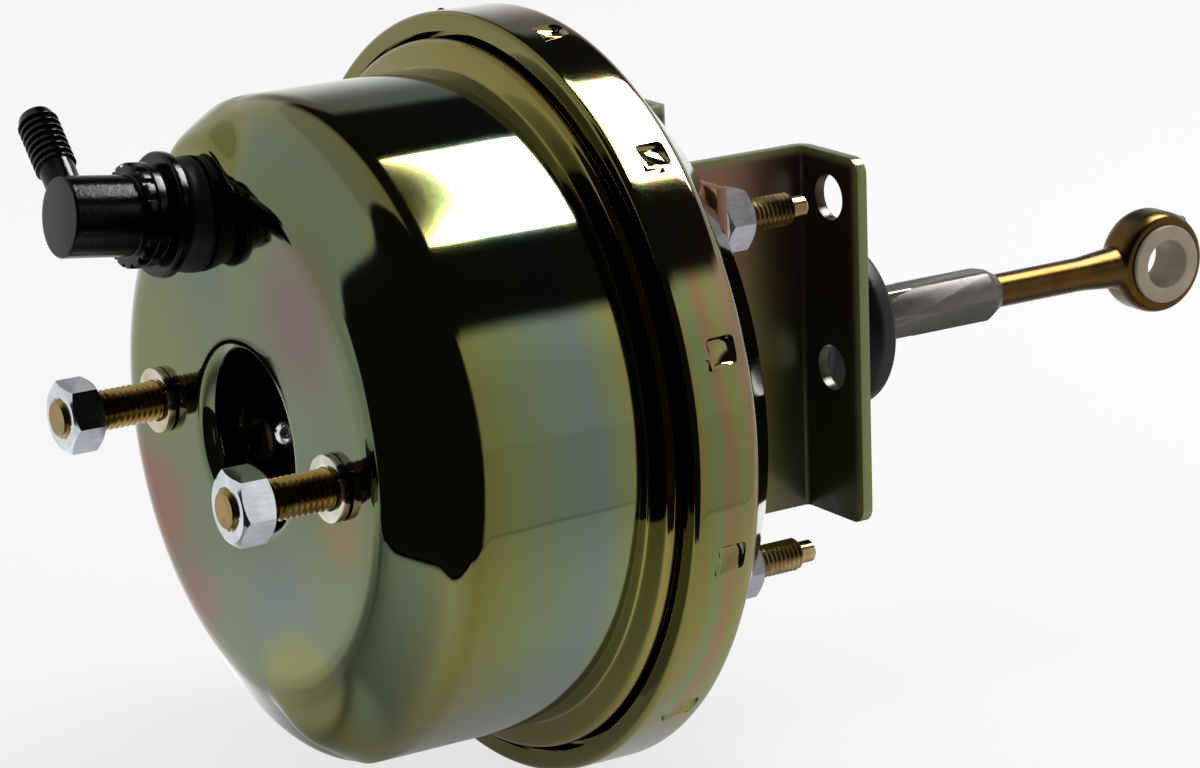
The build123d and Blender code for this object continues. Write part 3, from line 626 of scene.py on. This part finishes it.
def nut(name, flats, height, bore):
    """The hexagon turned to a crown at both ends, drilled, countersunk and tumbled."""
    made = bar_end(name, flats, 0, height)
    corner, face = flats / sqrt(3) + 0.01, 0.472 * flats
    crown = (corner - face) * tan(radians(30))
    mouth = bore + 1.6
    outside = straight(
        (0, 0), (0, face), (crown, corner), (height - crown, corner), (height, face), (height, 0))
    inside = straight(
        (-1, 0), (-1, mouth), (0.6, bore), (height - 0.6, bore), (height + 1, mouth), (height + 1, 0))
    cut(made, turned("crown", outside), "INTERSECT")
    cut(made, turned("bore", inside))
    return worked(made, "BEVEL", width=0.12 * millimetre, segments=2, limit_method="ANGLE")


def zinc(name, dull, bright, roughness=0.2, marks=0.3):
    """Bright zinc with fine scratches and spots worn dull."""
    made, f = material_for(name)
    place = f.node("ShaderNodeTexCoord", output="Object")
    wear = noise(f, place, 240, 4, 0.7)
    scratch = noise(f, f.node("ShaderNodeMapping", inputs={"Vector": place, "Scale": (1, 9, 1.6)}), 320, 3)
    tone = f.mixed((wear * 0.7 + scratch * 0.3).smooth(0.25, 0.75), srgb(*dull), srgb(*bright))
    bump = f.node("ShaderNodeBump", inputs={"Strength": 0.05, "Distance": 0.0001, "Height": scratch})
    surface(f, Base_Color=tone, Metallic=1.0, Roughness=wear * marks + roughness - marks / 2, Normal=bump)
    return made


nut_zinc = zinc("bright_zinc_nut", (176, 180, 186), (214, 218, 223), roughness=0.12, marks=0.1)
front_nut = placed(
    nut("master_cylinder_nut", 16, 8.4, 4.62), Vector((stud_tip + 1, 0, 0)) * millimetre, radians(8))
other_nut = copied(front_nut, "master_cylinder_nut_far", Vector((0, *stud_places[1])) * millimetre)
placed(front_nut, Vector((0, *stud_places[0])) * millimetre)
dressed(front_nut, nut_zinc, "housing", "bright_zinc", "master_cylinder_nuts", angle=25)
dressed(other_nut, nut_zinc, "housing", "bright_zinc", angle=25)


# A split spring washer lies at the root of each stud. It is wound from square steel wire, with its ends sprung
# apart, and plated a pale gold.
def spring_washer(name, outer, inner, thickness, sprung=0.35):
    """A square wire wound almost once round, with its two ends sprung apart."""
    ring = drawn(name, straight(
        (0, inner), (thickness - sprung, inner), (thickness - sprung, outer), (0, outer), (0, inner)))
    bpy.ops.mesh.remove_doubles(threshold=0.002 * millimetre)
    bpy.ops.object.mode_set(mode="OBJECT")
    worked(ring, "SCREW", axis="X", angle=radians(351), screw_offset=sprung * millimetre, iterations=1,
           steps=72, render_steps=72)
    bpy.ops.object.mode_set(mode="EDIT")
    bpy.ops.mesh.select_all(action="SELECT")
    bpy.ops.mesh.fill_holes(sides=4)
    bpy.ops.mesh.normals_make_consistent(inside=False)
    bpy.ops.object.mode_set(mode="OBJECT")
    return worked(ring, "BEVEL", width=0.25 * millimetre, segments=2, limit_method="ANGLE")


washer_gold = gold(
    "gold_washer", (0.35, 176, 164, 132), (0.5, 192, 188, 170), (0.62, 206, 206, 200), roughness=0.14)
washer = placed(
    spring_washer("master_cylinder_lock_washer", 8.0, 5.1, 2.5), (-2.6 * millimetre, 0, 0), radians(60))
other_washer = copied(washer, "master_cylinder_lock_washer_far", Vector((0, *stud_places[1])) * millimetre)
placed(washer, Vector((0, *stud_places[0])) * millimetre)
dressed(washer, washer_gold, "housing", "gold_zinc", "master_cylinder_lock_washers", angle=40)
dressed(other_washer, washer_gold, "housing", "gold_zinc", angle=40)


# The check valve is moulded from glossy black plastic in two halves welded at their flanges. The front half is
# a drum with a hose nipple on its side. The rear half's stem goes through a soft rubber grommet in the shell.
valve_tilt = radians(7.5)
valve_at = Vector((0, *valve_place)) * millimetre
nipple_lean = radians(52)


def moulded(name, colour, roughness, grain, scale, shine=0.5):
    """Black plastic or rubber: a close grain in the skin, and patches a little duller than the rest."""
    made, f = material_for(name)
    place = f.node("ShaderNodeTexCoord", output="Object")
    patch = noise(f, place, scale, 3)
    fine = noise(f, place, scale * 14, 2)
    bump = f.node("ShaderNodeBump", inputs={"Strength": grain, "Distance": 0.0003, "Height": fine})
    tone = f.mixed(patch, srgb(*colour), srgb(*(part * 1.5 + 3 for part in colour)))
    surface(f, Base_Color=tone, Roughness=patch * 0.16 + roughness - 0.08, Normal=bump,
            Specular_IOR_Level=shine)
    return made


valve_cap = turned("check_valve_cap", rounded(
    [(-14.1, 0), (-14.1, 12.5), (-16.6, 12.5), (-16.6, 9.65), (-34, 9.65), (-34, 0)],
    [0.4, 0.5, 0.5, 0.7], spacing=0), 96)
notch_count = 18
for notch_number in range(notch_count):
    notch = bar_end("flange_notch", 1.7, -16.9, -13.9)
    placed(notch, shift=(0, 0, 12.35 * millimetre))
    placed(notch, turn=notch_number * 2 * pi / notch_count)
    cut(valve_cap, notch)
cut(valve_cap, drill(7.85, -32.2, -12))
ridge_count, ridge_pitch = 8, 1.9
nipple_line = [(8.3, 0), (8.3, 4.3), (15.0, 4.3)]
for ridge_number in range(ridge_count):
    foot = 15.4 + ridge_number * ridge_pitch
    nipple_line += [(foot, 4.35), (foot + 0.2, 5.0), (foot + 0.6, 5.0), (foot + 1.65, 4.35)]
nipple_line += [(31.0, 4.3), (31.6, 4.0), (32.0, 3.2), (32.0, 0)]
nipple = turned("hose_nipple", straight(*nipple_line), 48)
cut(nipple, drill(2.5, 14, 33))
placed(nipple, turn=radians(-90), axis="Y")
placed(nipple, shift=(-29.4 * millimetre, 0, 0), turn=-nipple_lean)
cut(valve_cap, nipple, "UNION")
picked(valve_cap, lambda place: True)
bpy.ops.mesh.remove_doubles(threshold=0.005 * millimetre)
bpy.ops.object.mode_set(mode="OBJECT")
placed(valve_cap, valve_at, valve_tilt, "Y")
valve_black = moulded("glossy_black_plastic", (3, 3, 3), 0.2, 0.15, 90, shine=0.16)
dressed(valve_cap, valve_black, "check_valve", "black_plastic", "check_valve_cap", angle=32)

valve_base = turned("check_valve_base", rounded(
    [(-14, 7.85), (-14, 12.5), (-11.4, 12.5), (-11.4, 10.5), (-9.5, 10.5), (-9.5, 15), (-6.5, 15), (-6.5, 6.85),
     (6.4, 6.85), (6.4, 8.2), (10, 5.9), (10, 3.6), (-11.4, 3.6), (-11.4, 7.85), (-14, 7.85)],
    [0.4, 0.4, 0.3, 0.3, 0.8, 0.8, 0.3, 0.3, 0.3, 0.3, 0.2, 0.3, 0.3], spacing=0), 96)
placed(valve_base, valve_at, valve_tilt, "Y")
dressed(valve_base, valve_black, "check_valve", "black_plastic", "check_valve_base", angle=32)

grommet = turned("valve_grommet", rounded(
    [(-5.9, 6.95), (-5.9, 13.2), (-0.1, 14.0), (-0.1, 11.4), (1.6, 11.4), (1.6, 13), (4.4, 12), (4.4, 6.95),
     (-5.9, 6.95)],
    [1.4, 0.8, 0.3, 0.3, 0.5, 0.8, 0.3], spacing=0), 96)
outer_lip = -1 * millimetre
for vertex in grommet.data.vertices:
    if vertex.co.x < outer_lip:
        vertex.co = Matrix.Rotation(valve_tilt, 3, "Y") @ vertex.co
placed(grommet, valve_at)
rubber = moulded("soft_black_rubber", (12, 12, 11), 0.5, 0.25, 60, shine=0.3)
dressed(grommet, rubber, "housing", "black_rubber", "valve_grommet", angle=40)


# The adjuster is a small screw of polished steel in the end of the output rod. It has a hexagon for the spanner
# and a ball end, which pushes the master cylinder's piston and shows down the well.
adjuster = turned("rod_adjuster", rounded(
    [(8.0, 0), (8.0, 3.5), (23.9, 3.5), (23.9, 2.5), (33.0, 2.5), (33.0, 0)],
    [3.4, 0.2, 0.2, 0.3], spacing=0), 64)
hexagon = bar_end("adjuster_hexagon", 8 * cos(radians(30)), 19.4, 23.9)
cut(adjuster, worked(hexagon, "BEVEL", width=0.25 * millimetre, segments=2, limit_method="ANGLE"), "UNION")
polished = zinc("polished_steel_tip", (176, 178, 182), (224, 226, 230), roughness=0.14, marks=0.14)
dressed(adjuster, polished, "power_piston", "bright_zinc", "rod_adjuster", angle=30)


# Two Z-section brackets, folded from 2.7 mm plate, stand the booster off the firewall. Their chromate is
# browner than the shell's. The flange toward the firewall is painted darker as painted shade, and the edges are
# painted light green as a painted highlight.
bracket_line = rounded(
    [(97.35, -58.5), (97.35, -30.65), (140.05, -30.65), (140.05, -55.0)], [2.65, 2.65], spacing=0)
bracket_low, bracket_high = -51.0, 56.3
near_bracket = drawn("near_bracket_plate", bracket_line, upright=False)
bpy.ops.transform.translate(value=(0, 0, bracket_low * millimetre))
bpy.ops.mesh.extrude_edges_move(
    TRANSFORM_OT_translate={"value": (0, 0, (bracket_high - bracket_low) * millimetre)})
bpy.ops.mesh.select_all(action="SELECT")
bpy.ops.mesh.normals_make_consistent(inside=False)
bpy.ops.object.mode_set(mode="OBJECT")
worked(near_bracket, "SOLIDIFY", thickness=2.7 * millimetre, offset=0)


def block(low, high):
    """A box between two corners in millimetres, to cut with."""
    low, high = Vector(low) * millimetre, Vector(high) * millimetre
    bpy.ops.mesh.primitive_cube_add(size=1, location=(0, 0, 0))
    bpy.ops.transform.resize(value=high - low)
    return placed(bpy.context.object, (low + high) / 2)


web_low = -34.6
cut(near_bracket, block((98.7, -70, -60), (150, -20, web_low)))


def corner_cut(edge_y, edge_z, offset, segments):
    """Round or cut off the corner of a flange that stands at this Y and Z."""
    picked(near_bracket, lambda place: abs(place.y - edge_y * millimetre) < 1e-5
           and abs(place.z - edge_z * millimetre) < 1e-5)
    bpy.ops.mesh.bevel(offset=offset * millimetre, segments=segments, affect="EDGES")
    bpy.ops.object.mode_set(mode="OBJECT")


corner_cut(-55.0, bracket_high, 4.0, 7)
corner_cut(-55.0, web_low, 4.0, 7)
corner_cut(-58.5, bracket_low, 5.0, 1)
stud_side = 49
stud_heights = (46, -40)
wall_hole_heights = (45.3, 2.8)
for z in wall_hole_heights:
    cut(near_bracket, drill(5.6, 130, 150, -43, z))
for z in stud_heights:
    cut(near_bracket, drill(4.4, 90, 110, -stud_side, z))
worked(near_bracket, "BEVEL", width=0.55 * millimetre, segments=3, limit_method="ANGLE",
       angle_limit=radians(50))
far_bracket = copied(near_bracket, "far_bracket_plate")
far_bracket.scale = (1, -1, 1)
placed(far_bracket)
bpy.ops.object.mode_set(mode="EDIT")
bpy.ops.mesh.select_all(action="SELECT")
bpy.ops.mesh.normals_make_consistent(inside=False)
bpy.ops.object.mode_set(mode="OBJECT")

bracket_painted_shade_and_highlight, f = material_for("brown_chromate_plate")
place = f.node("ShaderNodeTexCoord", output="Object")
station, across, height = f.parts(place)
cloud = noise(f, place, 30, 3)
side = across.math("ABSOLUTE", across)
film_start, film_length = 0.055, 0.115
web_film = banded(
    f, (height + (cloud - 0.5) * 0.03 + film_start) / film_length, (0.0, 134, 108, 56), (0.25, 120, 122, 50),
    (0.5, 114, 112, 44), (0.68, 118, 98, 44), (0.8, 124, 86, 56), (0.95, 136, 94, 76))
# The flange toward the firewall gets these much darker colours, a painted shade, and the web grades into them
# from about 110 mm back.
flange_painted_shade = banded(
    f, (height + (cloud - 0.5) * 0.04 + film_start) / film_length, (0.0, 50, 44, 18), (0.35, 40, 42, 13),
    (0.6, 38, 36, 11), (0.85, 44, 32, 15), (1.0, 42, 32, 18))
film = f.mixed((station + (cloud - 0.5) * 0.008).smooth(0.110, 0.138), web_film, flange_painted_shade)
# The outer edge of the rear flange and the top edges are painted light green: a painted highlight.
edge = side.smooth(0.0515, 0.0545) + height.smooth(0.0535, 0.0560)
film = f.mixed(edge * station.smooth(0.1, 0.101), film, srgb(112, 118, 74))
bump = f.node("ShaderNodeBump", inputs={"Strength": 0.1, "Distance": 0.002, "Height": noise(f, place, 90, 2)})
surface(f, Base_Color=film, Metallic=0.4, Roughness=noise(f, place, 500) * 0.08 + 0.26, Normal=bump)
dressed(near_bracket, bracket_painted_shade_and_highlight, "housing", "yellow_zinc_bracket", "near_bracket", angle=35)
dressed(far_bracket, bracket_painted_shade_and_highlight, "housing", "yellow_zinc_bracket", "far_bracket", angle=35)


# Four M8 studs with dog points are pressed through the rear shell from inside and hold the brackets to it. They
# are gold chromated, and carry satin zinc nuts on split washers.
rear_places = [(y, z) for y in (-stud_side, stud_side) for z in stud_heights]
rear_stud = placed(threaded("rear_stud", -122.5, -97.0, 4.0, 1.25, 0.77, 0.7), turn=pi, axis="Z")
rear_stud_line = straight(
    (92, 0), (92, 7), (94.5, 7), (94.5, 3.9), (97.5, 3.9), (97.5, 2.7), (126.4, 2.7), (127, 2.1), (127, 0))
cut(rear_stud, turned("rear_stud_ends", rear_stud_line, 48), "UNION")
rear_nut = placed(nut("rear_nut", 14, 7.5, 3.7), (101.2 * millimetre, 0, 0))
rear_washer = placed(spring_washer("rear_lock_washer", 7.5, 4.2, 2.45), (98.72 * millimetre, 0, 0), radians(40))
rear_gold = gold(
    "light_gold_thread", (0.35, 122, 104, 66), (0.5, 166, 148, 108), (0.62, 148, 122, 84), roughness=0.24)
rear_zinc = zinc("satin_zinc_nut", (136, 137, 140), (168, 170, 173), roughness=0.34, marks=0.2)
rear_sets = [
    (rear_stud, rear_gold, "gold_zinc", "rear_studs", 25),
    (rear_nut, rear_zinc, "bright_zinc", "rear_nuts", 25),
    (rear_washer, rear_zinc, "bright_zinc", "rear_lock_washers", 40)]
for piece, finish, slot, node, angle in rear_sets:
    for number, (y, z) in enumerate(rear_places[1:], 2):
        twin = copied(piece, f"{piece.name}_{number}", Vector((0, y, z)) * millimetre)
        dressed(twin, finish, "housing", slot, angle=angle)
    placed(piece, Vector((0, *rear_places[0])) * millimetre)
    dressed(piece, finish, "housing", slot, node, angle=angle)


# The boot is a matt black rubber bellows: a collar on the shell's neck, five folds, and a dished end that grips
# the pedal rod's coupling.
fold_count = 5
folds_from, folds_to = 120, 166
fold_inner_r, fold_outer_r = 18.7, 21.2
fold_pitch = (folds_to - folds_from) / fold_count
boot_line = [(104, 21.4), (117, 21.4)]
for fold in range(fold_count):
    boot_line += [(folds_from + fold_pitch * (fold + 0.1), fold_inner_r),
                  (folds_from + fold_pitch * (fold + 0.6), fold_outer_r)]
boot_line += [(167, fold_inner_r), (170, fold_outer_r), (174.2, 20.6), (173, 12.2), (177, 8.1), (181, 8.1)]
boot = turned("bellows_boot", rounded(boot_line, [1.2] * (len(boot_line) - 2), spacing=1.5), 128)
worked(boot, "SOLIDIFY", thickness=1.6 * millimetre, offset=0)
dressed(boot, rubber, None, "black_rubber", "boot", angle=50)
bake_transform(boot)


# The coupling joins the booster's own rod to the pedal rod. It is half inch hexagon bar, turned round where the
# boot grips it, tapered to the rod and tapped at both ends, in satin zinc.
coupling_flats = 12.7
coupling = bar_end("rod_coupling", coupling_flats, 178, 221)
corner = coupling_flats / sqrt(3) + 0.01
cut(coupling, turned("coupling_turning", rounded(
    [(178, 0), (178, 7.2), (192, 7.2), (192.4, corner), (216.6, corner), (221, 5.0), (221, 0)],
    [0.6, 0.1, 0.1, 0.8, 0.3], spacing=0), 96), "INTERSECT")
for bore_start, bore_end in ((208, 222), (177, 188)):
    cut(coupling, drill(4.5, bore_start, bore_end))
worked(coupling, "BEVEL", width=0.2 * millimetre, segments=2, limit_method="ANGLE")
satin = zinc("satin_zinc_bar", (94, 92, 88), (110, 106, 100), roughness=0.38, marks=0.2)
dressed(coupling, satin, "pedal_rod", "bright_zinc", "rod_coupling", angle=25)


# The pedal rod is forged in one with the eye across its end, where the pedal's pin goes. The neck flows into
# the ring, the ring has a small nib at its end, and the whole is gold chromated.
eye_x = 274.8
eye_bore_r = 8.6


def ring_about(name, line, steps=128):
    """A closed section of width and radius, turned about the eye's own axis across the rod."""
    return placed(turned(name, line, steps), (eye_x * millimetre, 0, 0), pi / 2, "Z")


pedal_rod = turned("pedal_eye_rod", rounded(
    [(209, 0), (209, 4.45), (250, 4.5), (264, 5.8), (266, 0)], [0.3, 20, 0.3], spacing=1.5), 64)
eye_ring = ring_about("eye_ring", rounded(
    [(-5.75, eye_bore_r), (-5.75, 12.8), (-3.2, 13.75), (3.2, 13.75), (5.75, 12.8), (5.75, eye_bore_r),
     (-5.75, eye_bore_r)],
    [1.4, 2, 2, 1.4, 0.5], spacing=1.2))
nib = block((eye_x + 7.2, -3, eye_bore_r), (eye_x + 10.4, 3, 11.0))
cut(eye_ring, worked(nib, "BEVEL", width=0.8 * millimetre, segments=3, limit_method="ANGLE"), "UNION")
cut(pedal_rod, eye_ring, "UNION")
worked(pedal_rod, "REMESH", mode="VOXEL", voxel_size=0.4 * millimetre)
worked(pedal_rod, "SMOOTH", factor=0.6, iterations=14)
cut(pedal_rod, placed(drill(eye_bore_r, -10, 10), (eye_x * millimetre, 0, 0), pi / 2, "Z"))
rod_gold = gold(
    "gold_forging", (0.3, 66, 46, 18), (0.45, 80, 58, 24), (0.55, 72, 56, 28), (0.68, 88, 60, 26),
    roughness=0.32, scale=70)
dressed(pedal_rod, rod_gold, "pedal_rod", "gold_zinc", "pedal_eye_rod", angle=50)


# The bushing is turned from off-white nylon and pushed into the eye from the near side, with its flange on the
# eye's face.
bushing = placed(turned("eye_bushing", rounded(
    [(-5.7, 6.5), (-5.7, 8.5), (5.75, 8.5), (5.75, 10.5), (7.05, 10.5), (7.05, 6.5), (-5.7, 6.5)],
    [0.3, 0.1, 0.2, 0.5, 0.5], spacing=0), 128), (eye_x * millimetre, 0, 0), -pi / 2, "Z")
nylon, f = material_for("off_white_nylon")
place = f.node("ShaderNodeTexCoord", output="Object")
tone = banded(f, noise(f, place, 140, 3), (0.3, 142, 128, 108), (0.7, 164, 150, 128))
surface(f, Base_Color=tone, Roughness=noise(f, place, 300) * 0.15 + 0.38)
dressed(bushing, nylon, "pedal_rod", "white_nylon", "eye_bushing", angle=35)


# The working parts inside the housing are never seen, so they keep their CAD form. Each gets the finish that it
# is made in: bare and phosphated steel, rubber, the glass-filled hub moulding, nylon and felt.
inner_steel = zinc("inner_steel", (132, 132, 134), (160, 160, 162), roughness=0.3)
spring_black = zinc("phosphated_wire", (60, 60, 62), (82, 82, 84), roughness=0.36)
hub_brown = moulded("glass_filled_hub", (52, 42, 36), 0.44, 0.2, 50)
felt, f = material_for("filter_felt")
place = f.node("ShaderNodeTexCoord", output="Object")
fibre = noise(f, place, 1500, 4, 0.8)
surface(f, Base_Color=f.mixed(fibre, srgb(70, 70, 68), srgb(122, 122, 118)), Roughness=fibre * 0.2 + 0.78)
inner_looks = {
    "yellow_zinc_shell": front_finish, "yellow_zinc_bracket": bracket_painted_shade_and_highlight, "gold_zinc": stud_gold,
    "bright_zinc": nut_zinc, "bare_steel": inner_steel, "spring_steel": spring_black, "black_rubber": rubber,
    "black_plastic": valve_black, "hub_moulding": hub_brown, "white_nylon": nylon, "filter_felt": felt}
for part in frame["record"]["subparts"]:
    node = frame["nodes"][part["node"]]
    node.data.materials.clear()
    node.data.materials.append(inner_looks[part["material_slot"]])
